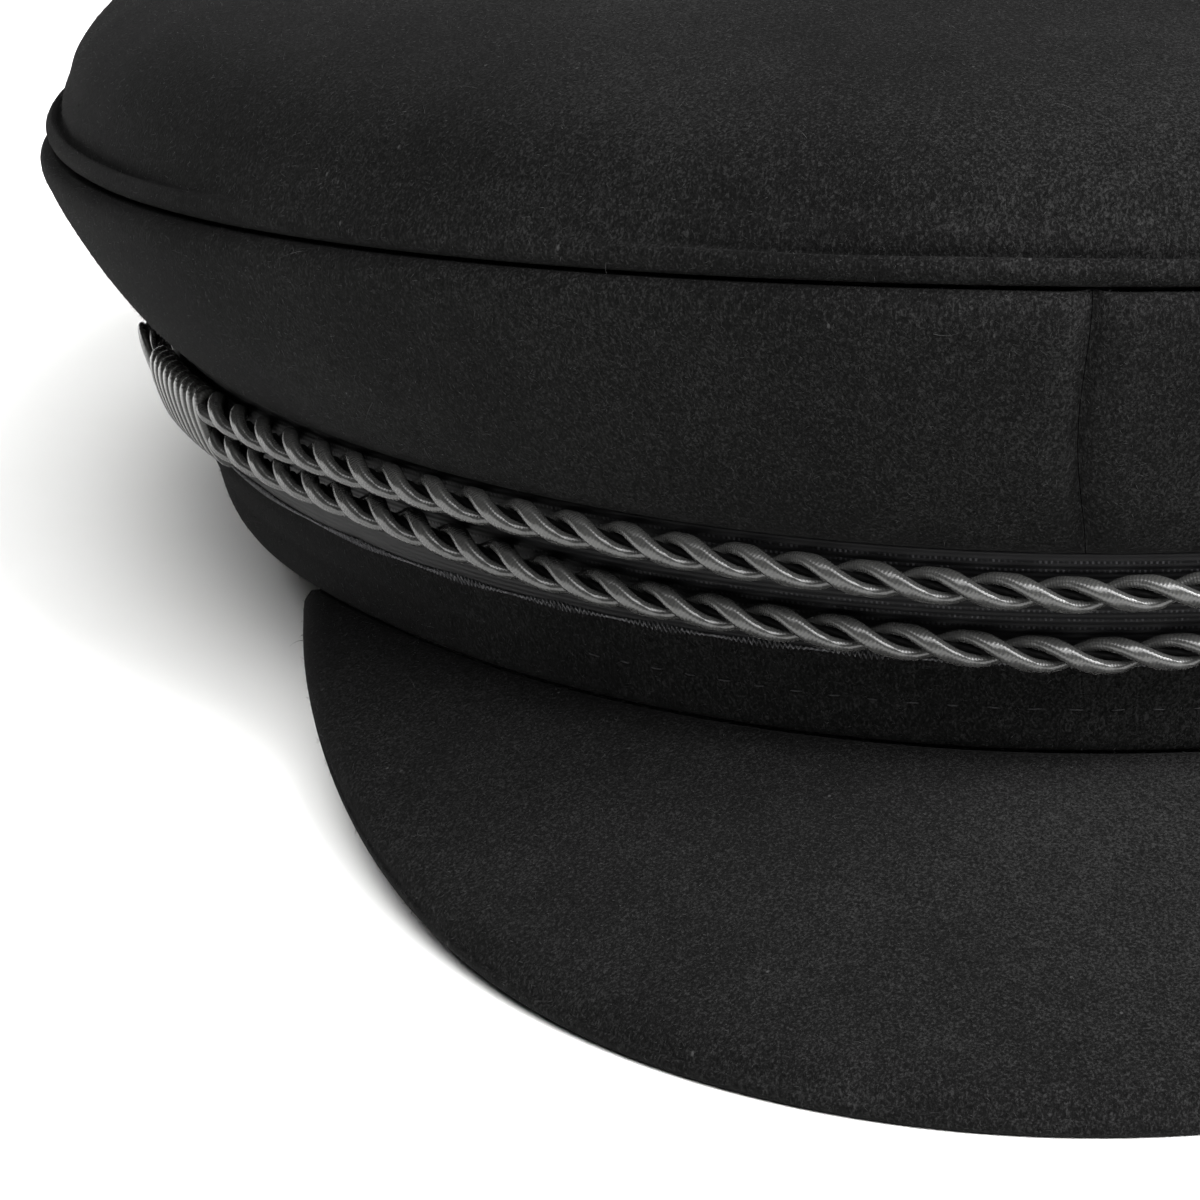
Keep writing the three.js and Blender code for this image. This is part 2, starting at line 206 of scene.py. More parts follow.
# black melton wool, woven, milled and napped: a deep matt felted face, tangled fibres and pale lint specks
def makeWool(look):
    material, add = newMaterial("meltonWoolNapped")
    place = add("TexCoord").outputs["Object"]
    fine = {"Vector": place, "Scale": 1 / look["grain"], "Detail": 3, "Roughness": 0.72, "Distortion": 0.6}
    grain = add("TexNoise", fine)
    lean = add("Mapping", {"Vector": place, "Rotation": look["lean"], "Scale": (1, 1, 0.5)})
    longer = {"Vector": lean, "Scale": 1 / look["grain"] * 0.8, "Detail": 2, "Distortion": 0.8}
    nap = add("TexNoise", longer)
    mottle = add("TexNoise", {"Vector": place, "Scale": 1 / look["mottle"], "Detail": 3, "Roughness": 0.6})
    cloud = add("TexNoise", {"Vector": place, "Scale": 1 / look["cloud"], "Detail": 2})
    tangle = add("Math ADD", [grain, nap])
    worn = add("Math MULTIPLY_ADD", [mottle, look["mottleShare"], tangle])
    height = add("Math MULTIPLY_ADD", [cloud, look["cloudShare"], worn])
    # the tone follows the height that also drives the bump: painted shade low in the grain and painted light
    # on its raised fibres, over random mottle and clouds
    low, high = look["heights"]
    tone = add("MapRange", {"Value": height, "From Min": low, "From Max": high, "To Max": 1})
    shades = add("ValToRGB", {"Fac": tone}, [(0, look["shadow"]), (0.5, look["body"]), (1, look["raisedLit"])])
    specks = add("TexVoronoi", {"Vector": lean, "Scale": 1 / look["lintSpacing"], "Randomness": 1})
    edge, full = look["lintRadii"]
    shown = {"Value": specks, "From Min": edge, "From Max": full, "To Max": look["lintShare"]}
    lint = add("MapRange", shown)
    colour = add("Mix", {"Factor": lint, 6: shades, 7: look["lint"]}, data_type="RGBA")
    bump = add("Bump", {"Height": height, "Strength": 0.9, "Distance": look["bump"]})
    finish = {
        "Base Color": colour.outputs[2], "Roughness": 0.95, "Specular IOR Level": 0.03,
        "Sheen Weight": 0.01, "Sheen Roughness": 0.5, "Sheen Tint": "#d0d0d0", "Normal": bump,
    }
    add("OutputMaterial", {"Surface": add("BsdfPrincipled", finish)})
    return material


ribbonLook = {
    "ground": "#070708",
    "rib": "#0c0c0d",
    "dot": "#323234",
    "ribPitch": 0.00055,  # lengthwise ribs; real ones are about 0.3 mm apart, drawn coarser so that they show
    "dotPitch": 0.0005,
    "rowHeights": [0.0044, 0.0053, 0.0062, 0.0106, 0.0115],  # above the lower edge
    "rowHalf": 0.00014,
    "wear": 900,  # worn patches to a metre
    "dotHeight": 1.5,  # of a rib's height
    "bump": 0.00005,
}


# black rayon ribbon, shuttle woven with raised lengthwise ribs: a low satin shine with rows of dotted picks
def makeRibbonCloth(look):
    material, add = newMaterial("ribbonWovenRayon")
    uv = add("TexCoord").outputs["UV"]
    along, across = add("SeparateXYZ", [uv]).outputs[:2]
    waves = []
    for way, pitch in ((across, look["ribPitch"]), (along, look["dotPitch"])):
        turn = add("Math MULTIPLY", [way, 2 * math.pi / pitch])
        waves.append(add("Math SINE", [turn]))
    dotShare = add("MapRange", {"Value": waves[1], "From Min": -0.1, "From Max": 0.7})
    rows = None
    for height in look["rowHeights"]:
        near = add("Math COMPARE", [across, height, look["rowHalf"]])
        rows = near if rows is None else add("Math MAXIMUM", [rows, near])
    worn = add("TexNoise", {"Vector": uv, "Scale": look["wear"], "Detail": 2})
    kept = add("MapRange", {"Value": worn, "From Min": 0.35, "From Max": 0.65})
    dots = add("Math MULTIPLY", [rows, dotShare])
    wornDots = add("Math MULTIPLY", [dots, kept])
    # the ribbon is lighter on its ribs and darker between them, following the bump: painted light and painted
    # shade
    ribShare = add("MapRange", {"Value": waves[0], "From Min": -1, "From Max": 1})
    ground = add("Mix", {"Factor": ribShare, 6: look["ground"], 7: look["rib"]}, data_type="RGBA")
    colour = add("Mix", {"Factor": wornDots, 6: ground.outputs[2], 7: look["dot"]}, data_type="RGBA")
    relief = add("Math MULTIPLY_ADD", [wornDots, look["dotHeight"], ribShare])
    bump = add("Bump", {"Height": relief, "Strength": 0.8, "Distance": look["bump"]})
    finish = {"Base Color": colour.outputs[2], "Roughness": 0.6, "Specular IOR Level": 0.12, "Normal": bump}
    add("OutputMaterial", {"Surface": add("BsdfPrincipled", finish)})
    return material


cordLook = {
    "grooveShade": "#272727",
    "floss": "#2c2c2c",
    "litRidge": "#31312f",
    "streak": 0.85,  # the wound floss draws its shine out into a line along the strand
    "shine": 0.42,
    "windPitch": 0.00028,  # the floss is wound at about 0.15 mm, drawn coarser so that it shows
    "wander": 1400,  # unevenness of the floss, in patches to a metre
    "wanderTurn": 5,  # radians by which it shifts the winding
    "wanderShare": 0.8,  # of its own light and dark
    "bump": 0.00002,
}
# the keepers are wound from the cord's own gimp, made darker here: painted shade, with less shine
shadedKeeperLook = {**cordLook, "grooveShade": "#1a1a19", "floss": "#222221", "litRidge": "#2a2a28", "shine": 0.25}
# the button cover takes the keepers' darker colours, and the painted shade with them
coverLook = {**shadedKeeperLook, "streak": 0, "windPitch": 0.0004}


# grey gimp, rayon floss wound over cotton: a soft satin sheen along each strand with fine cross grooves
def makeGimp(look, name):
    material, add = newMaterial(name)
    places = add("TexCoord").outputs
    along = add("SeparateXYZ", [places["UV"]])
    wander = add("TexNoise", {"Vector": places["Object"], "Scale": look["wander"], "Detail": 2})
    turn = add("Math MULTIPLY", [along, 2 * math.pi / look["windPitch"]])
    shifted = add("Math MULTIPLY_ADD", [wander, look["wanderTurn"], turn])
    wound = add("Math SINE", [shifted])
    share = add("MapRange", {"Value": wound, "From Min": -1, "From Max": 1})
    fibres = add("Math MULTIPLY_ADD", [wander, look["wanderShare"], share])
    tone = add("MapRange", {"Value": fibres, "From Min": 0.1, "From Max": 1.5})
    # the floss is darker in the winding's grooves and lighter on its ridges, following the bump: painted
    # shade and painted light, over the floss's own uneven tone
    stops = [(0, look["grooveShade"]), (0.45, look["floss"]), (1, look["litRidge"])]
    shades = add("ValToRGB", {"Fac": tone}, stops)
    bump = add("Bump", {"Height": share, "Strength": 0.7, "Distance": look["bump"]})
    finish = {"Base Color": shades, "Roughness": 0.26, "Specular IOR Level": look["shine"], "Normal": bump}
    shader = add("BsdfPrincipled", finish)
    if look["streak"]:
        wayAlong = add("Attribute", attribute_name="windAlong").outputs["Vector"]
        material.node_tree.links.new(wayAlong, shader.inputs["Tangent"])
        shader.inputs["Anisotropic"].default_value = look["streak"]
    add("OutputMaterial", {"Surface": shader})
    return material


threadBump = 0.00004
threadLooks = {
    "sewing": {"dark": "#060607", "light": "#151517", "twist": 0.0004, "shine": 0.3},
    "selvage": {"dark": "#18181a", "light": "#565658", "twist": 0.0003, "shine": 0.3},
    # the core is near black and almost without shine, so the gaps between the strands show black
    "core": {"dark": "#020202", "light": "#060606", "twist": 0.0005, "shine": 0.02},
    "fibre": {"dark": "#0a0a0a", "light": "#2e2e2e", "twist": 0.0016, "shine": 0.2},
}


# spun thread or fibre, twisted: fine light and dark along it, a little shinier than the cloth
def makeThread(look, name):
    material, add = newMaterial(name)
    place = add("TexCoord").outputs["Object"]
    twist = add("TexNoise", {"Vector": place, "Scale": 1 / look["twist"], "Detail": 2})
    shades = add("ValToRGB", {"Fac": twist}, [(0.35, look["dark"]), (0.65, look["light"])])
    bump = add("Bump", {"Height": twist, "Strength": 0.5, "Distance": threadBump})
    finish = {"Base Color": shades, "Roughness": 0.55, "Specular IOR Level": look["shine"], "Normal": bump}
    add("OutputMaterial", {"Surface": add("BsdfPrincipled", finish)})
    return material


wool = makeWool(woolLook)
ribbonCloth = makeRibbonCloth(ribbonLook)
gimp = makeGimp(cordLook, "cordGimpWound")
shadedKeeperGimp = makeGimp(shadedKeeperLook, "keeperGimpWoundShaded")
buttonCover = makeGimp(coverLook, "buttonCoverWoven")
coreCotton = makeThread(threadLooks["core"], "cordCoreCotton")
thread = makeThread(threadLooks["sewing"], "sewingThreadTwisted")
selvageThread = makeThread(threadLooks["selvage"], "selvageThreadTwisted")
woolFibre = makeThread(threadLooks["fibre"], "woolFibreLoose")
print("materials ready")

# the hat's own form, as the CAD has it: angle 0 is the front, positive angles go towards +X

headForm = {
    "halfWidth": 0.0842,
    "frontReach": 0.110,
    "backReach": 0.099,
    "height": 0.0208,
    "lean": math.tan(math.radians(19.2)),
    "slant": 1 / math.cos(math.radians(19.2)),
    "pinch": 0.055,
    "frontLift": 0.0186,
    "settle": 0.0008,
    "middleY": 0.021738,  # the middle of the head opening in the shared frame
}
crownForm = {
    "halfWidth": 0.103, "frontReach": 0.131, "backReach": 0.112, "pinch": 0.089, "seamFront": 0.067,
    "seamSide": 0.0439, "seamBack": 0.034, "wall": 0.0022, "overlap": 0.0016, "swell": 0.0024,
    "seamInset": 0.0007, "domeHeight": 0.025, "domeFullness": 2.45, "gap": 0.0003,
}
smallTurn = 0.002  # radians, for the direction of a line at a point


def ringAngles(count):
    return np.linspace(-math.pi, math.pi, count, endpoint=False)


def outlinePoint(form, angle, spread=0.0):
    sine, cosine = np.sin(angle), np.cos(angle)
    x = (form["halfWidth"] + spread) * sine * np.where(cosine > 0, 1 - form["pinch"] * cosine**2, 1)
    return x, -np.where(cosine > 0, form["frontReach"] + spread, form["backReach"] + spread) * cosine


def bandPoint(angle, rise, out=0.0):
    form = headForm
    x, y = outlinePoint(form, angle, form["lean"] * rise + out)
    tilt = form["frontLift"] / (form["frontReach"] + form["backReach"])
    z = np.maximum(0, (form["backReach"] - y) * tilt - form["settle"]) + rise
    return np.stack(np.broadcast_arrays(x, y + form["middleY"], z), -1)


def seamHeight(y):
    form = crownForm
    ringY = y - headForm["middleY"]
    front = (form["seamFront"] - form["seamSide"]) / form["frontReach"]
    back = (form["seamBack"] - form["seamSide"]) / form["backReach"]
    bend = (front + back) / (form["frontReach"] + form["backReach"])
    return form["seamSide"] + (bend * form["frontReach"] - front) * ringY + bend * ringY**2


def seamPoint(angle):
    x, y = outlinePoint(crownForm, angle)
    y = y + headForm["middleY"]
    return np.stack(np.broadcast_arrays(x, y, seamHeight(y)), -1)


# ways of any length, made 1 long
def unit(ways):
    return ways / np.linalg.norm(ways, axis=-1, keepdims=True)


# level direction straight out of an outline
def levelOut(pointAt, angle):
    along = pointAt(angle + smallTurn) - pointAt(angle - smallTurn)
    return unit(np.stack([along[..., 1], -along[..., 0], 0 * along[..., 0]], -1))


def hemPoint(angle):
    return bandPoint(angle, 0.0)


# straight out of the leaning band, and up its face
def faceDirections(angle):
    level = levelOut(hemPoint, angle)
    upright = np.zeros_like(level)
    upright[..., 2] = 1
    face = (level - headForm["lean"] * upright) / headForm["slant"]
    return face, (headForm["lean"] * level + upright) / headForm["slant"]


# a smooth curve through table points
def curveThrough(places, values, at):
    places, values = np.asarray(places, float), np.asarray(values, float)
    slopes = np.gradient(values, places)
    i = np.clip(np.searchsorted(places, at) - 1, 0, len(places) - 2)
    width = places[i + 1] - places[i]
    t = np.clip((at - places[i]) / width, 0, 1)
    return (
        (2 * t**3 - 3 * t**2 + 1) * values[i]
        + (t**3 - 2 * t**2 + t) * width * slopes[i]
        + (3 * t**2 - 2 * t**3) * values[i + 1]
        + (t**3 - t**2) * width * slopes[i + 1]
    )


def smoothStep(low, high, value):
    t = np.clip((value - low) / (high - low), 0, 1)
    return t * t * (3 - 2 * t)


def lengthsAlong(points):
    return np.concatenate([[0], np.cumsum(np.linalg.norm(np.diff(points, axis=0), axis=1))])


# a smooth line through points, by length, at so many places
def lineThrough(points, count):
    points = np.asarray(points, float)
    length = lengthsAlong(points)
    at = np.linspace(0, length[-1], count)
    return np.stack([curveThrough(length, points[:, k], at) for k in range(points.shape[1])], -1)


# soft unevenness of hand-worked cloth, the same on every run
def unevenness(points, size, seed):
    flat = points.reshape(-1, 3) / size + seed
    return np.array([noise.noise(Vector(p)) for p in flat]).reshape(points.shape[:-1])


# a mesh over a grid of points: rows go across the section and columns along it
def gridPiece(name, grid, roundRows=False, roundColumns=False, capEnds=False, poles=None):
    rowCount, columnCount = grid.shape[:2]
    rows = np.arange(rowCount if roundRows else rowCount - 1)
    columns = np.arange(columnCount if roundColumns else columnCount - 1)
    r, c = (a.ravel() for a in np.meshgrid(rows, columns, indexing="ij"))
    corners = [(r, c), (r, c + 1), (r + 1, c + 1), (r + 1, c)]
    faces = np.stack([(i % rowCount) * columnCount + j % columnCount for i, j in corners], -1).tolist()
    stepAlong = np.linalg.norm(np.diff(grid, axis=1, append=grid[:, :1]), axis=2).mean(0)
    stepAcross = np.linalg.norm(np.diff(grid, axis=0, append=grid[:1]), axis=2).mean(1)
    along = np.concatenate([[0], np.cumsum(stepAlong)])
    across = np.concatenate([[0], np.cumsum(stepAcross)])
    uv = np.stack([np.stack([along[j], across[i]], -1) for i, j in corners], 1).reshape(-1, 2).tolist()
    points = grid.reshape(-1, 3).tolist()
    if capEnds:  # the second half of the rows runs back along the first
        half = rowCount // 2
        for j in (0, columnCount - 1):
            for i in range(half - 1):
                ring = [i, i + 1, rowCount - 2 - i, rowCount - 1 - i]
                ring = ring if j else ring[::-1]
                faces.append([k * columnCount + j for k in ring])
                uv += [[along[j], across[k]] for k in ring]
    if poles is not None:
        last = (rowCount - 1) * columnCount
        for k, pole in enumerate(poles):
            points.append(list(pole))
            for j in range(columnCount):
                following = (j + 1) % columnCount
                pair = [last + j, last + following] if k else [following, j]
                faces.append([len(points) - 1, *pair])
                edge = across[rowCount - 1] if k else 0
                uv += [[along[j], edge], [along[j], edge], [along[j + 1], edge]]
    mesh = bpy.data.meshes.new(name)
    mesh.from_pydata(points, [], faces)
    mesh.uv_layers.new(name="clothUv").data.foreach_set("uv", np.asarray(uv, float).ravel())
    pointOutwards(mesh)
    return addObject(name, mesh)


# turns a closed mesh's faces outwards and shades it smooth
def pointOutwards(mesh):
    mesh.calc_loop_triangles()
    place = np.zeros(len(mesh.vertices) * 3)
    mesh.vertices.foreach_get("co", place)
    place = place.reshape(-1, 3)
    triangles = np.zeros(len(mesh.loop_triangles) * 3, int)
    mesh.loop_triangles.foreach_get("vertices", triangles)
    a, b, c = (place[k] for k in triangles.reshape(-1, 3).T)
    if np.einsum("ij,ij->i", a, np.cross(b, c)).sum() < 0:
        mesh.flip_normals()
    mesh.polygons.foreach_set("use_smooth", [True] * len(mesh.polygons))
    mesh.update()


def finishPiece(piece, material, slot, *nodes):
    if material is not None:
        piece.data.materials.clear()
        piece.data.materials.append(material)
    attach(piece, "root")
    if nodes:
        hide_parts(*nodes)


# crown top

crownTop = {
    "around": 420,
    "weltRows": 44,
    "weltSamples": 200,
    "domeRows": 64,
    "domeFoot": (0.0019, 0.0026),  # way in from the seam and height above it
    "domeShares": (0.012, 0.978, 1.9),  # the first row's way in, the whole of it, and how the rows thin out
    # way in from the seam and height above it, in mm: where the welt stands up, and where it lies in the dome
    "standing": [
        (1.1, 0.1), (0.62, 0.4), (0.26, 0.78), (0.06, 1.25), (0, 1.6), (0.09, 1.95), (0.3, 2.3), (0.66, 2.65),
        (0.95, 2.45), (1.2, 1.75), (1.48, 1.7), (1.64, 2.5), (1.68, 3.4), (1.87, 4.6), (2.37, 6.0),
    ],
    "lying": [
        (1.1, 0.1), (0.62, 0.4), (0.26, 0.78), (0.06, 1.25), (0.03, 1.8), (0.16, 2.5), (0.42, 3.35),
        (0.8, 4.2), (1.3, 5.2), (1.9, 6.3),
    ],
    # angle, and how far the welt stands up there
    "standingAt": [
        (-180, 0.6), (-150, 0.8), (-120, 0.9), (-90, 1), (-72, 0.95), (-62, 0.7), (-54, 0.35), (-45, 0.12),
        (-30, 0.08), (-24, 0.35), (-18, 0.5), (-14, 0.5), (-11, 0.85), (-8, 1), (8, 1), (25, 0.7), (40, 0.3),
        (60, 0.5), (90, 0.9), (130, 0.6), (180, 0.6),
    ],
    "blend": 6,  # columns to each side over which the welt's standing is evened out
    "waveHeight": 0.0009,
    "waveSize": 0.045,
    "waveSeed": 3.1,
    "waveIn": 0.02,  # the waves are full this far in
    "waveEase": 0.7,
    "puckerHeight": 0.00022,
    "puckerSize": 0.009,
    "puckerSeed": 8.4,
    "puckerIn": (0.003, 0.016),  # where the puckers start and where they have died down
    "swellFrom": 0.02,  # waves and puckers lift the cloth away from this height in the middle
    "liningIn": 0.7,  # the wall's inner side, as shares of its thickness in and down
    "liningDown": 0.9,
    "liningEvery": 3,  # it has every third row of the dome
    "rimUp": 0.0001,
}


def domePlace(share, foot):
    form = crownForm
    rise = form["domeHeight"] * (1 - (1 - share) ** form["domeFullness"]) ** (1 / form["domeFullness"])
    return foot[0] + share * (form["halfWidth"] - foot[0]), foot[1] + rise


def topGrid(angle, inward, rise):
    seam = seamPoint(angle)
    share = 1 - inward / crownForm["halfWidth"]
    x = seam[..., 0] * share
    y = (seam[..., 1] - headForm["middleY"]) * share + headForm["middleY"]
    return np.stack([x, y, seamHeight(y) + crownForm["gap"] / 2 + rise], -1)


def makeCrownTop(form):
    angle = ringAngles(form["around"])
    blend = form["blend"]
    standing = np.interp(np.degrees(angle), *zip(*form["standingAt"]))
    standing = np.concatenate([standing[-blend:], standing, standing[:blend]])
    standing = np.convolve(standing, np.ones(2 * blend + 1) / (2 * blend + 1), "valid")
    first, whole, thin = form["domeShares"]
    shares = first + whole * np.linspace(0, 1, form["domeRows"]) ** thin
    domeIn, domeUp = domePlace(shares, form["domeFoot"])
    profiles = []
    for key in ("standing", "lying"):
        start = np.array(form[key]) / 1000
        onDome = np.stack([domeIn[:6:2], domeUp[:6:2]], -1)  # the welt runs on into the dome
        welt = lineThrough(np.concatenate([start, onDome]), form["weltSamples"])
        cut = np.argmin(np.linalg.norm(welt - [domeIn[0], domeUp[0]], axis=1))
        profiles.append(welt[np.linspace(0, cut, form["weltRows"]).astype(int)])
    stands, lies = profiles
    weltIn, weltUp = (stands[:, k, None] * standing + lies[:, k, None] * (1 - standing) for k in (0, 1))
    inward = np.concatenate([weltIn, np.repeat(domeIn[1:, None], len(angle), 1)])
    rise = np.concatenate([weltUp, np.repeat(domeUp[1:, None], len(angle), 1)])
    outer = topGrid(angle[None], inward, rise)
    depth = np.clip(inward / form["waveIn"], 0, 1)[..., None] ** form["waveEase"]
    wave = unevenness(outer, form["waveSize"], form["waveSeed"])
    lift = form["waveHeight"] * wave[..., None] * depth
    start, end = form["puckerIn"]
    pucker = np.exp(-((inward / end) ** 2)) * np.clip(inward / start, 0, 1)
    pucker = unevenness(outer, form["puckerSize"], form["puckerSeed"]) * pucker
    lift += form["puckerHeight"] * pucker[..., None]
    outwards = outer - np.array([0, headForm["middleY"], form["swellFrom"]])
    outer = outer + lift * outwards / np.linalg.norm(outwards, axis=-1, keepdims=True)
    wall = crownForm["wall"]
    every = form["liningEvery"]
    innerIn = domeIn[::every, None] + wall * form["liningIn"]
    inner = topGrid(angle[None], innerIn, domeUp[::every, None] - wall * form["liningDown"])
    rim = topGrid(angle[None], crownForm["seamInset"] + wall, form["rimUp"])
    grid = np.concatenate([outer[::-1], rim, inner])
    poles = (outer[-1].mean(0), inner[-1].mean(0))
    return gridPiece("crownTopCloth", grid, roundColumns=True, poles=poles)


finishPiece(makeCrownTop(crownTop), wool, "wool_cloth", "crown_top")
print("crown top made")

# crown sides

crownSide = {
    "along": 260,
    "alongEase": 0.85,  # finer columns near both upright seams
    "rows": 56,
    "rowEase": 1.5,  # finer rows near the seam
    # share of the height and of the swell, from the hem up to the seam
    "profile": [
        (0, 0.05), (0.08, 0.35), (0.3, 0.8), (0.55, 1), (0.78, 1.0), (0.9, 0.88), (0.945, 0.7), (0.972, 0.47),
        (0.988, 0.25), (1, 0.02),
    ],
    # share of the height, and depth in
    "hem": [(-0.012, 0.0016), (-0.017, 0.0009), (-0.015, 0.0004), (-0.006, 0.0001)],
    "waveHeight": 0.0008,
    "waveSize": 0.038,
    "waveSeed": 5.7,
    "waveEase": 0.7,
    "seamDip": 0.0011,
    "seamHalf": 0.0009,
    "dipFrom": 0.12,  # share of the height over which the dip grows to its full depth
    "seamRidge": 0.0002,
    "ridgeAway": 0.0032,
    "ridgeHalf": 0.0016,
    "seamWander": 0.0005,
    "wanderTurn": 210,  # radians to a metre
    "wanderReach": 0.012,
    "seamGap": 0.00003,
}


def sidePoint(angle, rise, depth, swell):
    form = crownForm
    out = levelOut(seamPoint, angle)
    foot = bandPoint(angle, headForm["height"] + form["gap"], form["overlap"] - depth)
    head = seamPoint(angle) - out * (form["seamInset"] + depth)
    head[..., 2] = seamHeight(head[..., 1]) - form["gap"] / 2
    return foot + (head - foot) * rise + out * form["swell"] * swell


def makeCrownSide(name, side, form):
    share = np.linspace(0, 1, form["along"])
    share = share - form["alongEase"] * np.sin(2 * math.pi * share) / (2 * math.pi)
    angle = side * math.pi * share
    rises = 1 - (1 - np.linspace(0, 1, form["rows"])) ** form["rowEase"]
    swells = curveThrough(*zip(*form["profile"]), rises)
    hem = np.stack([sidePoint(angle, rise, depth, 0) for rise, depth in form["hem"]])
    face = np.stack([sidePoint(angle, rise, 0, swell) for rise, swell in zip(rises, swells)])
    outer = np.concatenate([hem, face])
    flat = np.zeros(len(hem))
    away = np.abs(outer[..., 0])
    deep = np.concatenate([flat, smoothStep(0, form["dipFrom"], rises)])[:, None]
    dip = form["seamDip"] * deep * np.exp(-((away / form["seamHalf"]) ** 2))
    ridge = form["seamRidge"] * np.exp(-(((away - form["ridgeAway"]) / form["ridgeHalf"]) ** 2))
    waves = form["waveHeight"] * unevenness(outer, form["waveSize"], form["waveSeed"])
    upright = np.concatenate([flat, np.sin(math.pi * rises) ** form["waveEase"]])[:, None]
    outer = outer + levelOut(seamPoint, angle)[None] * (ridge - dip + waves * upright)[..., None]
    wall = crownForm["wall"]
    inner = np.stack([sidePoint(angle, rise, wall, swell) for rise, swell in zip(rises, swells)])
    inner = np.concatenate([np.repeat(inner[:1], len(hem), 0), inner])
    near = np.exp(-((away / form["wanderReach"]) ** 2))[..., None]
    wander = form["seamWander"] * np.sin(outer[..., 2:] * form["wanderTurn"]) * near
    sideways = np.array([1, 0, 0])
    grid = np.concatenate([outer + wander * sideways, (inner + wander * sideways)[::-1]])
    return gridPiece(name, grid + side * form["seamGap"] * sideways, roundRows=True, capEnds=True)


for side, word in ((-1, "Left"), (1, "Right")):
    cloth = makeCrownSide(f"crownSide{word}Cloth", side, crownSide)
    finishPiece(cloth, wool, "wool_cloth", f"crown_side_{word.lower()}")
print("crown sides made")

# head band

headBand = {
    "around": 400,
    "section": [  # height and way out, in mm, round the band's section
        (20.6, -1.5), (20.8, -0.6), (20.6, 0), (17, 0), (13, 0.05), (10, 0.1), (7.5, 0.12), (6.0, 0.12),
        (4.9, 0.02), (4.2, -0.1), (3.5, 0.0), (2.5, 0.1), (1.3, 0.12), (0.4, 0.0), (-0.1, -0.3),
        (-0.35, -0.8), (-0.35, -2.2), (0.1, -2.8), (1.2, -3), (10, -3), (20.3, -3), (20.8, -2.4),
    ],
    "sectionPoints": 88,
    "waveHeight": 0.0004,
    "waveSize": 0.03,
    "waveSeed": 1.3,
    "waveUp": (0.001, 0.005, 0.009),  # heights: full from the first to the second, gone at the third
    "sideBulge": 0.001,  # the band swells out a little below the ribbon, at the sides
    "bulgeFrom": math.radians(45),
    "bulgeFull": math.radians(75),
    "bulgeOut": (-0.0025, -0.001),
    "bulgeUp": (0.0095, 0.007),
}


def makeHeadBand(form):
    angle = ringAngles(form["around"])
    section = np.array(form["section"]) / 1000
    section = lineThrough(np.concatenate([section, section[:1]]), form["sectionPoints"])[:-1]
    up, out = section[:, :1], section[:, 1:]
    grid = bandPoint(angle[None], up, out)
    wave = form["waveHeight"] * unevenness(grid, form["waveSize"], form["waveSeed"])
    low, full, high = form["waveUp"]
    wave *= np.clip((high - up) / (high - full), 0, 1) * np.clip(up / low, 0, 1)
    turned = np.minimum(np.abs(angle), math.pi - np.abs(angle))
    sideways = smoothStep(form["bulgeFrom"], form["bulgeFull"], turned)
    outerSide = smoothStep(*form["bulgeOut"], out) * smoothStep(*form["bulgeUp"], up)
    bulge = form["sideBulge"] * outerSide * sideways[None]
    grid = grid + levelOut(hemPoint, angle)[None] * (wave + bulge)[..., None]
    grid[..., 2] = np.maximum(grid[..., 2], 0.0)  # the back of the band lies on the floor
    return gridPiece("headBandCloth", grid, roundRows=True, roundColumns=True)


finishPiece(makeHeadBand(headBand), wool, "wool_cloth", "head_band")
print("head band made")

# peak

peakForm = {
    "halfSpan": math.radians(62),
    "reach": 0.0468,
    "thickness": 0.0032,
    "edgeCurve": 6.9,
    "swell": 0.0016,
    "edgeRound": 0.0009,
    "roll": 0.0042,  # the top face rolls down towards the edge over this width
    "rollDrop": 0.42,  # by this share of the thickness
    "press": 0.0002,
    "gap": 0.0003,
    "end": 0.985,
    "along": 300,
    "across": 70,
    "acrossEase": 0.9,  # finer rows near the band
    "rimRows": 12,
    "underEvery": 3,  # the underside has every third row of the top face
    "waveHeight": 0.0005,
    "waveSize": 0.035,
    "waveSeed": 6.6,
    "waveReach": 0.01,  # the waves are full where the peak is this deep
    "seat": (0.0016, 0.0004),  # way in under the band and way down, on top and underneath
    "tuck": (0.002, 0.0022),
}


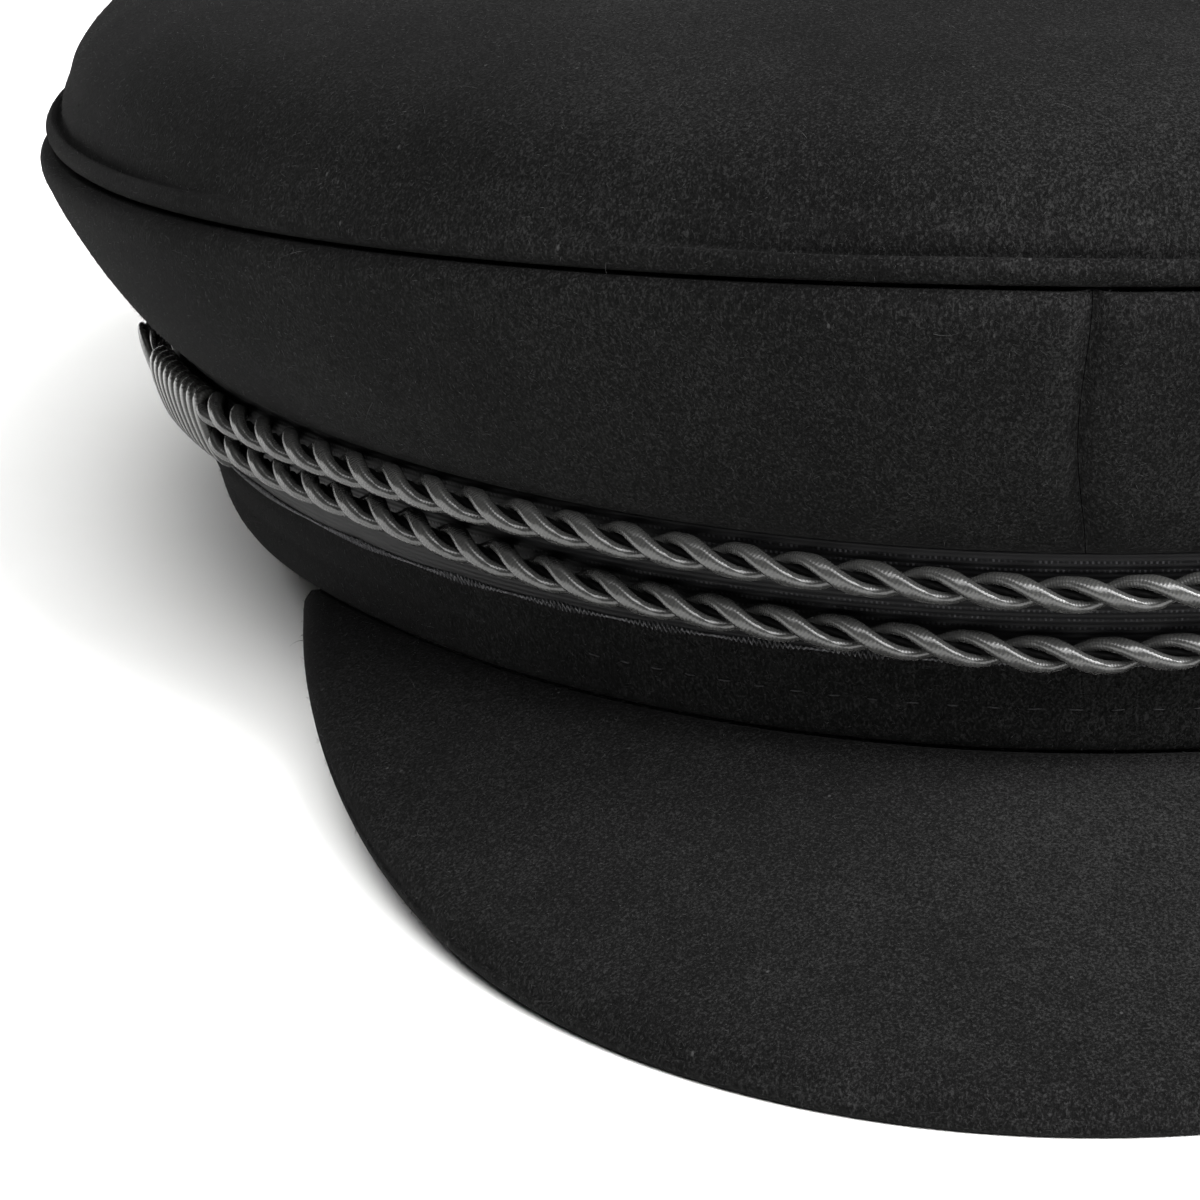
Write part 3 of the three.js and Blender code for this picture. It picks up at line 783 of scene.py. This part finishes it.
def makePeak(form):
    def edgeAt(angle):
        return bandPoint(angle, 0.0, form["gap"])

    # a line tucked in under the band
    def lineUnder(place):
        line = bandPoint(share * form["halfSpan"], 0.0, form["gap"] - place[0])
        line[:, 2] -= form["gap"] + place[1]
        return line[None]

    corner = edgeAt(np.array(form["halfSpan"]))
    depth = headForm["frontReach"] + form["reach"] - form["edgeRound"] + corner[1] - headForm["middleY"]
    share = form["end"] * np.linspace(-1, 1, form["along"])
    turn = share * math.pi / 2
    root = edgeAt(share * form["halfSpan"])
    root[:, 2] -= form["gap"]
    lift = np.abs(np.sin(turn)) ** form["edgeCurve"]
    edge = np.stack([corner[0] * np.sin(turn), corner[1] - depth * np.cos(turn), 0 * turn], -1)
    edge[:, 2] = (corner[2] - form["gap"]) * lift + (form["thickness"] - form["press"]) * (1 - lift)
    out = levelOut(edgeAt, share * form["halfSpan"])
    reach = np.maximum(((edge - root) * out).sum(-1), form["thickness"])
    slope = np.arctan2(root[:, 2] - edge[:, 2], reach)
    through = -form["thickness"] * (out * np.sin(slope)[:, None] + np.outer(np.cos(slope), [0, 0, 1]))
    swell = form["swell"] * np.linalg.norm(edge - root, axis=-1) / form["reach"]
    ahead = unit((edge - root) * np.array([1, 1, 0]))
    # ways out along the peak: the top face, round the soft edge, and back along the underside
    ways = np.linspace(0, 1, form["across"]) ** form["acrossEase"]
    top = root + (edge - root) * ways[:, None, None]
    top[..., 2] += 4 * swell * (ways * (1 - ways))[:, None]
    wave = form["waveHeight"] * unevenness(top, form["waveSize"], form["waveSeed"])
    top[..., 2] += wave * np.sin(math.pi * ways)[:, None] * np.minimum(1, reach / form["waveReach"])
    rimTurn = np.linspace(0, math.pi, form["rimRows"])[1:-1]
    down = 1 - (1 - form["rollDrop"]) * (0.5 + 0.5 * np.cos(rimTurn))
    nose = form["edgeRound"] * (1 - lift) * np.sin(rimTurn)[:, None]
    rim = edge + through * down[:, None, None] + ahead * nose[..., None]
    under = top[:: -form["underEvery"]] + through
    fromEdge = np.linalg.norm(edge - root, axis=-1) * (1 - ways[:, None])
    fall = 1 - np.sqrt(1 - (1 - np.clip(fromEdge / form["roll"], 0, 1)) ** 2)
    top = top + through * (fall * form["rollDrop"])[..., None]
    grid = np.concatenate([lineUnder(form["seat"]), top, rim, under, lineUnder(form["tuck"])])
    grid[..., 2] = np.maximum(grid[..., 2], 0.0)
    if len(grid) % 2:
        grid = np.concatenate([grid, (0.5 * (grid[-1:] + grid[:1]))])
    return gridPiece("peakCloth", grid, roundRows=True, capEnds=True)


finishPiece(makePeak(peakForm), wool, "wool_cloth", "peak")
print("peak made")

# ribbon

ribbonForm = {
    "width": 0.0118,
    "thickness": 0.0009,
    "gap": 0.00015,
    "around": 520,
    "acrossSteps": 26,
    "insideEvery": 5,  # its inner side has every fifth of them
    "edgeRound": 0.0003,
    "edgeFall": 22,  # how fast the rounding dies away from each edge, over the width
}
ribbonLow = headForm["height"] - ribbonForm["width"]
ribbonFace = (ribbonForm["gap"] + ribbonForm["thickness"]) * headForm["slant"]


def makeRibbon(form):
    angle = ringAngles(form["around"])
    inside = form["gap"] * headForm["slant"]
    across = np.linspace(0, 1, form["acrossSteps"])
    edge = form["edgeRound"] * (np.exp(-across * form["edgeFall"]) + np.exp(-(1 - across) * form["edgeFall"]))
    outer = [(ribbonLow + form["width"] * a, ribbonFace - e) for a, e in zip(across, edge)]
    inner = [(ribbonLow + form["width"] * a, inside) for a in across[:: -form["insideEvery"]]]
    section = np.array(outer + inner)
    grid = bandPoint(angle[None], section[:, :1], section[:, 1:])
    return gridPiece("ribbonWeave", grid, roundRows=True, roundColumns=True)


finishPiece(makeRibbon(ribbonForm), ribbonCloth, "woven_ribbon", "ribbon")
print("ribbon made")

# Geometry Nodes trees

# the sizes that aren't of the kind Float
sizeKinds = {"Steps": "Int", "Corner Steps": "Int", "Segments": "Int", "Seed": "Int", "Material": "Material"}


# a tree that takes a geometry and sizes, with what adds its nodes and what it is given
def newTree(name, *sizes):
    tree = bpy.data.node_groups.new(name, "GeometryNodeTree")
    tree.interface.new_socket("Geometry", in_out="INPUT", socket_type="NodeSocketGeometry")
    for label in sizes:
        kind = sizeKinds.get(label, "Float")
        tree.interface.new_socket(label, in_out="INPUT", socket_type="NodeSocket" + kind)
    tree.interface.new_socket("Geometry", in_out="OUTPUT", socket_type="NodeSocketGeometry")
    add = partial(addNode, tree)
    return tree, add, add("GroupInput").outputs


# ends a tree: instances made real, shaded smooth, given their material
def endTree(add, geometry, material):
    real = add("RealizeInstances", {"Geometry": geometry})
    smooth = add("SetShadeSmooth", {"Geometry": real})
    covered = add("SetMaterial", {"Geometry": smooth, "Material": material})
    add("GroupOutput", [covered])


# strands swept along a path, turning round it: its points carry faceOut, ropeSize and turnAhead
def makeStrandTree():
    course = ("Steps", "Turns", "Start Turn", "Twist Radius")
    section = ("Half Width", "Half Depth", "Corner Steps")
    tree, add, given = newTree("strandTree", *course, *section, "Material")
    named, store = "InputNamedAttribute", "StoreNamedAttribute"
    path = add("MeshToCurve", {"Mesh": given["Geometry"]})
    even = add("ResampleCurve", {"Curve": path, "Count": given["Steps"]}, mode="COUNT")
    along = add("SplineParameter").outputs
    tangent = add("InputTangent")
    out = add(named, {"Name": "faceOut"}, data_type="FLOAT_VECTOR")
    size = add(named, {"Name": "ropeSize"}, data_type="FLOAT")
    ahead = add(named, {"Name": "turnAhead"}, data_type="FLOAT")
    start = add("Math ADD", [given["Start Turn"], ahead])
    across = add("VectorMath CROSS_PRODUCT", [tangent, out])
    side = add("VectorMath NORMALIZE", [across])
    front = add("VectorMath CROSS_PRODUCT", [side, tangent])
    turns = add("Math MULTIPLY_ADD", [along["Factor"], given["Turns"], start])
    turn = add("Math MULTIPLY", [turns, 2 * math.pi])
    cosine = add("Math COSINE", [turn])
    sine = add("Math SINE", [turn])
    twist = add("Math MULTIPLY", [given["Twist Radius"], size])
    frontPart = add("VectorMath SCALE", {0: front, "Scale": cosine})
    sidePart = add("VectorMath SCALE", {0: side, "Scale": sine})
    both = add("VectorMath ADD", [frontPart, sidePart])
    offset = add("VectorMath SCALE", {0: both, "Scale": twist})
    measure = {"Geometry": even, "Name": "alongStrand", "Value": along["Length"]}
    length = add(store, measure, data_type="FLOAT", domain="POINT")
    middleOut = {"Geometry": length, "Name": "radial", "Value": both}
    radial = add(store, middleOut, data_type="FLOAT_VECTOR", domain="POINT")
    moved = add("SetPosition", {"Geometry": radial, "Offset": offset})
    # the strand's flat side keeps facing away from the middle of the cord
    away = add(named, {"Name": "radial"}, data_type="FLOAT_VECTOR")
    strandWay = add("InputTangent")
    leaning = add("VectorMath PROJECT", [away, strandWay])
    square = add("VectorMath SUBTRACT", [away, leaning])
    faced = add("SetCurveNormal", {"Curve": moved, "Normal": square}, mode="FREE")
    windWay = {"Geometry": faced, "Name": "windAlong", "Value": strandWay}
    laid = add(store, windWay, data_type="FLOAT_VECTOR", domain="POINT")
    # the strand's section: a flat tape with rounded edges
    depth = add("Math MULTIPLY", [given["Half Depth"], 2.0])
    width = add("Math MULTIPLY", [given["Half Width"], 2.0])
    rounding = add("Math MULTIPLY", [given["Half Depth"], 0.96])
    tape = add("CurvePrimitiveQuadrilateral", {"Width": depth, "Height": width})
    corners = {"Curve": tape, "Count": given["Corner Steps"], "Radius": rounding}
    soft = add("FilletCurve", corners, mode="POLY")
    swept = add("CurveToMesh", {"Curve": laid, "Profile Curve": soft, "Scale": size, "Fill Caps": True})
    reading = add(named, {"Name": "alongStrand"}, data_type="FLOAT")
    flat = add("CombineXYZ", [reading])
    layout = {"Geometry": swept, "Name": "clothUv", "Value": flat}
    mapped = add(store, layout, data_type="FLOAT2", domain="CORNER")
    endTree(add, mapped, given["Material"])
    return tree


# small sewn stitches set along a path, each lying along it on the cloth
def makeStitchTree():
    tree, add, given = newTree("stitchTree", "Pitch", "Stitch Length", "Thread Width", "Material")
    align = "AlignRotationToVector"
    path = add("MeshToCurve", {"Mesh": given["Geometry"]})
    even = add("ResampleCurve", {"Curve": path, "Length": given["Pitch"]}, mode="LENGTH")
    tangent = add("InputTangent")
    out = add("InputNamedAttribute", {"Name": "faceOut"}, data_type="FLOAT_VECTOR")
    lying = add(align, {"Vector": tangent}, axis="X")
    facing = add(align, {"Rotation": lying, "Vector": out}, axis="Z", pivot_axis="X")
    bead = add("MeshUVSphere", {"Segments": 8, "Rings": 6, "Radius": 0.5})
    shape = add("CombineXYZ", [given["Stitch Length"], given["Thread Width"], given["Thread Width"]])
    stitch = add("Transform", {"Geometry": bead, "Scale": shape})
    slips = {"Min": (-0.06, -0.02, -0.09), "Max": (0.06, 0.02, 0.09), "Seed": 4}
    tilt = add("RandomValue", slips, data_type="FLOAT_VECTOR")
    spread = {"Min": (0.8, 0.8, 0.9), "Max": (1.12, 1.15, 1.1), "Seed": 9}
    uneven = add("RandomValue", spread, data_type="FLOAT_VECTOR")
    turned = add("RotateRotation", {"Rotation": facing, "Rotate By": tilt}, rotation_space="LOCAL")
    row = {"Points": even, "Instance": stitch, "Rotation": turned, "Scale": uneven}
    endTree(add, add("InstanceOnPoints", row), given["Material"])
    return tree


# loose fibres over the outer side of a cloth piece: slender pointed spikes, leaning and turned at random
def makeNapTree():
    shape = ("Fibre Length", "Fibre Width", "Segments", "Curl", "Least Lean", "Most Lean")
    tree, add, given = newTree("napTree", "Density", *shape, "Seed", "Material")
    place = add("InputPosition")
    normal = add("InputNormal")
    # the outer side faces away from a point under the middle of the cap
    under = (0, headForm["middleY"], -0.05)
    away = add("VectorMath SUBTRACT", [place, under])
    facing = add("VectorMath DOT_PRODUCT", [away, normal]).outputs["Value"]
    outside = add("Compare", [facing, 0.0], data_type="FLOAT", operation="GREATER_THAN")
    surface = {"Mesh": given["Geometry"], "Selection": outside}
    sown = {**surface, "Density": given["Density"], "Seed": given["Seed"]}
    spread = add("DistributePointsOnFaces", sown).outputs
    halfWidth = add("Math MULTIPLY", [given["Fibre Width"], 0.5])
    slender = {
        "Vertices": 3, "Side Segments": given["Segments"], "Radius Top": 0.0,
        "Radius Bottom": halfWidth, "Depth": given["Fibre Length"],
    }
    spike = add("MeshCone", slender)
    height = add("SeparateXYZ", [place]).outputs[2]
    share = add("Math DIVIDE", [height, given["Fibre Length"]])
    square = add("Math POWER", [share, 2.0])
    bend = add("Math MULTIPLY", [square, given["Curl"]])
    sideways = add("CombineXYZ", [bend])
    fibre = add("SetPosition", {"Geometry": spike, "Offset": sideways})
    least = add("CombineXYZ", [given["Least Lean"]])
    most = add("CombineXYZ", {0: given["Most Lean"], 2: 2 * math.pi})
    lean = add("RandomValue", {"Min": least, "Max": most, "Seed": 21}, data_type="FLOAT_VECTOR")
    turning = {"Rotation": spread["Rotation"], "Rotate By": lean}
    turned = add("RotateRotation", turning, rotation_space="LOCAL")
    growth = {"Min": (0.7, 0.7, 0.5), "Max": (1.2, 1.2, 1.5), "Seed": 34}
    uneven = add("RandomValue", growth, data_type="FLOAT_VECTOR")
    planted = {"Points": spread["Points"], "Instance": fibre, "Rotation": turned, "Scale": uneven}
    grown = add("InstanceOnPoints", planted)
    real = add("RealizeInstances", {"Geometry": grown})
    # no fibre goes through the floor
    floored = add("VectorMath MAXIMUM", [place, (-1, -1, 0)])
    kept = add("SetPosition", {"Geometry": real, "Position": floored})
    endTree(add, kept, given["Material"])
    return tree


# a path as a mesh of edges whose points know which way the cloth faces, how thick the thread is there,
# and how far its twist is ahead
def makePath(points, faceOut, size=None, ahead=None, closed=False):
    mesh = bpy.data.meshes.new("path")
    count = len(points)
    edges = [(i, (i + 1) % count) for i in range(count if closed else count - 1)]
    mesh.from_pydata(np.asarray(points).tolist(), edges, [])
    facing = mesh.attributes.new("faceOut", "FLOAT_VECTOR", "POINT")
    facing.data.foreach_set("vector", np.asarray(faceOut, float).ravel())
    for name, values, usual in (("ropeSize", size, np.ones), ("turnAhead", ahead, np.zeros)):
        values = usual(count) if values is None else np.asarray(values, float)
        mesh.attributes.new(name, "FLOAT", "POINT").data.foreach_set("value", values)
    return addObject("path", mesh)


# what a tree may leave on a mesh that no material reads
spareAttributes = (
    "faceOut", "ropeSize", "turnAhead", "alongStrand", "radial", "custom_normal", "normal_mode", "curve_type",
)


# runs a tree on a path or surface and keeps its result as a plain mesh piece
def growPiece(name, source, tree, sizes):
    modifier = source.modifiers.new("grow", "NODES")
    modifier.node_group = tree
    for item in tree.interface.items_tree:
        if item.in_out == "INPUT" and item.name in sizes:
            modifier[item.identifier] = sizes[item.name]
    depsgraph = bpy.context.evaluated_depsgraph_get()
    mesh = bpy.data.meshes.new_from_object(source.evaluated_get(depsgraph), depsgraph=depsgraph)
    source.modifiers.remove(modifier)
    bpy.data.objects.remove(source)
    for spare in spareAttributes:
        if spare in mesh.attributes:
            mesh.attributes.remove(mesh.attributes[spare])
    mesh.name = name
    pointOutwards(mesh)
    return addObject(name, mesh)


strandTree = makeStrandTree()
stitchTree = makeStitchTree()
napTree = makeNapTree()


# a strand along a path: halves are half its width and half its depth
def growStrand(name, path, steps, halves, material, turns=0.0, start=0.0, twistRadius=0.0, cornerSteps=3):
    sizes = {
        "Steps": steps, "Turns": turns, "Start Turn": start, "Twist Radius": twistRadius,
        "Half Width": halves[0], "Half Depth": halves[1], "Corner Steps": cornerSteps, "Material": material,
    }
    return growPiece(name, path, strandTree, sizes)


# the doubled cord

cordForm = {
    "radius": 0.0017,
    "tightRadius": 0.00085,
    "twistRadius": 0.00102,
    "strandHalves": (0.00084, 0.00062),
    "coreHalves": (0.0006, 0.0006),
    "lay": 0.0119,  # one full turn of the twist
    "startTurn": 0.0,
    "upperAhead": 0.137,  # turns the upper run's twist is ahead, made up out of sight in the keepers
    "runSteps": 420,
    "eyeSteps": 40,
    "endDeg": 73.5,
    "tightFromDeg": 64.5,
    "taperDeg": 2.5,
    "buttonDeg": 79,
    "eyeRadius": 0.0024,
    "eyeTurnDeg": 120,  # to each side of the button's far side
    "onRibbon": 0.00015,
    "keptOut": 0.0005,
    "stepsPerTurn": 26,
    # angle, and height of the upper and the lower run as a share of the ribbon's width above its lower edge
    "heights": [
        (0, 0.675, 0.142), (15, 0.748, 0.244), (33, 0.82, 0.368), (48, 0.83, 0.5), (57, 0.8, 0.49),
        (75, 0.76, 0.5),
    ],
    "fastenShare": 0.645,  # the same for the keepers and buttons
}
fastenRise = ribbonLow + ribbonForm["width"] * cordForm["fastenShare"]


def cordRun(form, side, sign):
    degrees = np.linspace(-form["endDeg"], form["endDeg"], form["runSteps"]) * sign
    size = np.abs(degrees)
    heights = np.array(form["heights"])
    share = curveThrough(heights[:, 0], heights[:, 1 if side > 0 else 2], size)
    tight = smoothStep(form["tightFromDeg"] - form["taperDeg"], form["tightFromDeg"], size)
    loose = ribbonLow + ribbonForm["width"] * share
    rise = (1 - tight) * loose + tight * (fastenRise + side * form["tightRadius"])
    radius = (1 - tight) * form["radius"] + tight * form["tightRadius"]
    out = ribbonFace + form["onRibbon"] + radius * headForm["slant"] + tight * form["keptOut"]
    ahead = (side > 0) * form["upperAhead"] * smoothStep(form["endDeg"], form["tightFromDeg"], size)
    return np.stack([np.radians(degrees), rise, out, radius, ahead], -1)


def cordEye(form, side):
    middle = math.radians(form["buttonDeg"])
    small = smallTurn / 2
    ends = [hemPoint(np.array(middle + step)) for step in (small, -small)]
    span = np.linalg.norm(ends[0] - ends[1]) / smallTurn  # metres of band to a radian
    turn = side * math.radians(form["eyeTurnDeg"]) * np.linspace(1, -1, form["eyeSteps"])
    angle = side * (middle + form["eyeRadius"] * np.cos(turn) / span)
    rise = fastenRise + form["eyeRadius"] * np.sin(turn)
    out = np.full_like(turn, ribbonFace + form["onRibbon"] + form["tightRadius"])
    return np.stack([angle, rise, out, np.full_like(turn, form["tightRadius"]), np.zeros_like(turn)], -1)


def makeCord(form):
    upper, lower = cordRun(form, 1, 1), cordRun(form, -1, -1)
    stations = np.concatenate([upper, cordEye(form, 1), lower, cordEye(form, -1)])
    angle, rise, out, radius, ahead = stations.T
    centres = bandPoint(angle, rise, out)
    faceOut, _ = faceDirections(angle)
    length = np.linalg.norm(centres - np.roll(centres, 1, axis=0), axis=1).sum()
    turns = round(length / form["lay"])
    print(f"cord loop {length * 1000:.0f} mm, {turns} turns")
    parts = (
        # name, turns ahead, twist radius, half width and depth, corner steps, material
        ("cordStrandA", 0, form["twistRadius"], form["strandHalves"], 3, gimp),
        ("cordStrandB", 0.5, form["twistRadius"], form["strandHalves"], 3, gimp),
        ("cordCore", 0, 0.0, form["coreHalves"], 1, coreCotton),
    )
    steps = turns * form["stepsPerTurn"]
    for name, phase, twistRadius, halves, cornerSteps, material in parts:
        path = makePath(centres, faceOut, radius / form["radius"], ahead, closed=True)
        twist = (float(turns), form["startTurn"] + phase, twistRadius)
        strand = growStrand(name, path, steps, halves, material, *twist, cornerSteps)
        finishPiece(strand, None, "twisted_cord", "cord")


makeCord(cordForm)
print("cord made")

# keepers: gimp wound round both runs of the cord

keeperForm = {
    "startDeg": 62.5,
    "endDeg": 72.5,
    "turns": 9,
    "stepsPerTurn": 40,
    "drop": 0.0007,
    "halfHeight": 0.0036,
    "halfDepth": 0.0012,
    "flatness": (0.85, 0.7),  # powers: flatter in front and behind than an ellipse, which has 1
    "gimpHalves": (0.00096, 0.0005),
    "standOut": 0.00005,
}


def makeKeeper(name, side, form):
    share = np.linspace(0, 1, form["turns"] * form["stepsPerTurn"] + 1)
    angle = side * np.radians(form["startDeg"] + share * (form["endDeg"] - form["startDeg"]))
    turn = math.pi + 2 * math.pi * form["turns"] * share  # both ends of the winding are hidden behind it
    face, upward = faceDirections(angle)
    out = ribbonFace + form["standOut"] + form["halfDepth"] + form["gimpHalves"][1]
    middle = bandPoint(angle, fastenRise - form["drop"], out)
    sine, cosine = np.sin(turn)[:, None], np.cos(turn)[:, None]
    up = form["halfHeight"] * np.sign(sine) * np.abs(sine) ** form["flatness"][0]
    away = form["halfDepth"] * np.sign(cosine) * np.abs(cosine) ** form["flatness"][1]
    facing = unit(face * cosine / form["halfDepth"] + upward * sine / form["halfHeight"])
    path = makePath(middle + up * upward + away * face, facing)
    return growStrand(name, path, len(share), form["gimpHalves"], shadedKeeperGimp)


for side, word in ((-1, "Left"), (1, "Right")):
    winding = makeKeeper(f"keeper{word}Winding", side, keeperForm)
    finishPiece(winding, None, "twisted_cord", f"keeper_{word.lower()}")
print("keepers made")

# buttons

buttonForm = {
    "around": 48,
    "outlinePoints": 44,
    # radius and height over the ribbon, in mm, from the shank's foot round the rim to the middle of the top
    "outline": [
        (1.1, 0.1), (1.1, 1.0), (1.15, 1.5), (2.4, 1.62), (3.2, 1.7), (3.5, 1.95), (3.45, 2.25), (3.0, 2.55),
        (2.2, 2.75), (1.1, 2.86), (0.25, 2.88),
    ],
}


def makeButton(name, side, form):
    angle = np.array(side * math.radians(cordForm["buttonDeg"]))
    face, upward = faceDirections(angle)
    across = np.cross(upward, face)
    foot = bandPoint(angle, fastenRise, ribbonFace)
    outline = lineThrough(np.array(form["outline"]) / 1000, form["outlinePoints"])
    turn = np.linspace(0, 2 * math.pi, form["around"], endpoint=False)
    ring = np.cos(turn)[:, None] * upward + np.sin(turn)[:, None] * across
    grid = foot + outline[:, 1, None, None] * face + outline[:, 0, None, None] * ring[None]
    return gridPiece(name, grid, roundColumns=True, poles=(grid[0].mean(0), grid[-1].mean(0)))


for side, word in ((-1, "Left"), (1, "Right")):
    button = makeButton(f"button{word}Covered", side, buttonForm)
    finishPiece(button, buttonCover, "covered_button", f"button_{word.lower()}")
print("buttons made")

# topstitching on the band above the peak seam

stitchForm = {
    "pitch": 0.0036, "length": 0.0013, "width": 0.00016, "height": 0.0042, "sunkIn": 0.00006,
    "halfSpanDeg": 32, "pathSteps": 300,
}


def makeTopstitch(form):
    angle = np.radians(np.linspace(-form["halfSpanDeg"], form["halfSpanDeg"], form["pathSteps"]))
    path = makePath(bandPoint(angle, form["height"], -form["sunkIn"]), faceDirections(angle)[0])
    sizes = {
        "Pitch": form["pitch"], "Stitch Length": form["length"], "Thread Width": form["width"],
        "Material": thread,
    }
    return growPiece("peakTopstitch", path, stitchTree, sizes)


finishPiece(makeTopstitch(stitchForm), None, "wool_cloth")

# zigzag selvage along the ribbon's lower edge

selvageForm = {
    "pitch": 0.00052,
    "high": 0.00085,
    "threadHalves": (0.00012, 0.00012),
    "below": 0.0002,
    "sunkIn": 0.0001,
    "over": 0.00012,  # every second corner stands out this much more
    "ringSteps": 2001,
}


def makeSelvage(form):
    ring = np.radians(np.linspace(-180, 180, form["ringSteps"]))
    length = lengthsAlong(bandPoint(ring, ribbonLow))
    count = 2 * round(length[-1] / form["pitch"])
    angle = np.interp(np.linspace(0, length[-1], count, endpoint=False), length, ring)
    second = np.arange(count) % 2
    rise = ribbonLow - form["below"] + form["high"] * second
    points = bandPoint(angle, rise, ribbonFace - form["sunkIn"] + form["over"] * second)
    path = makePath(points, faceDirections(angle)[0], closed=True)
    return growStrand("ribbonSelvage", path, count, form["threadHalves"], selvageThread, cornerSteps=1)


finishPiece(makeSelvage(selvageForm), None, "woven_ribbon")
print("stitches and selvage made")

# the raised nap, and a few longer stray fibres

napForm = {
    "pieces": ["crownTop", "crownSideLeft", "crownSideRight", "headBand", "peak"],
    # density is in fibres to a square metre
    "Nap": {
        "Density": 7.0e5, "Fibre Length": 0.0005, "Fibre Width": 0.00004, "Segments": 1, "Curl": 0.0,
        "Least Lean": 0.9, "Most Lean": 1.45,
    },
    "Strays": {
        "Density": 2.0e3, "Fibre Length": 0.0020, "Fibre Width": 0.00005, "Segments": 5, "Curl": 0.0011,
        "Least Lean": 0.8, "Most Lean": 1.35,
    },
}


def makeNap(form):
    for seed, piece in enumerate(form["pieces"]):
        for kind in ("Nap", "Strays"):
            source = addObject("source", bpy.data.objects[piece + "Cloth"].data.copy())
            sizes = {**form[kind], "Seed": seed, "Material": woolFibre}
            fibres = growPiece(piece + kind, source, napTree, sizes)
            print(fibres.name, len(fibres.data.polygons), "faces")
            finishPiece(fibres, None, "wool_cloth")


makeNap(napForm)
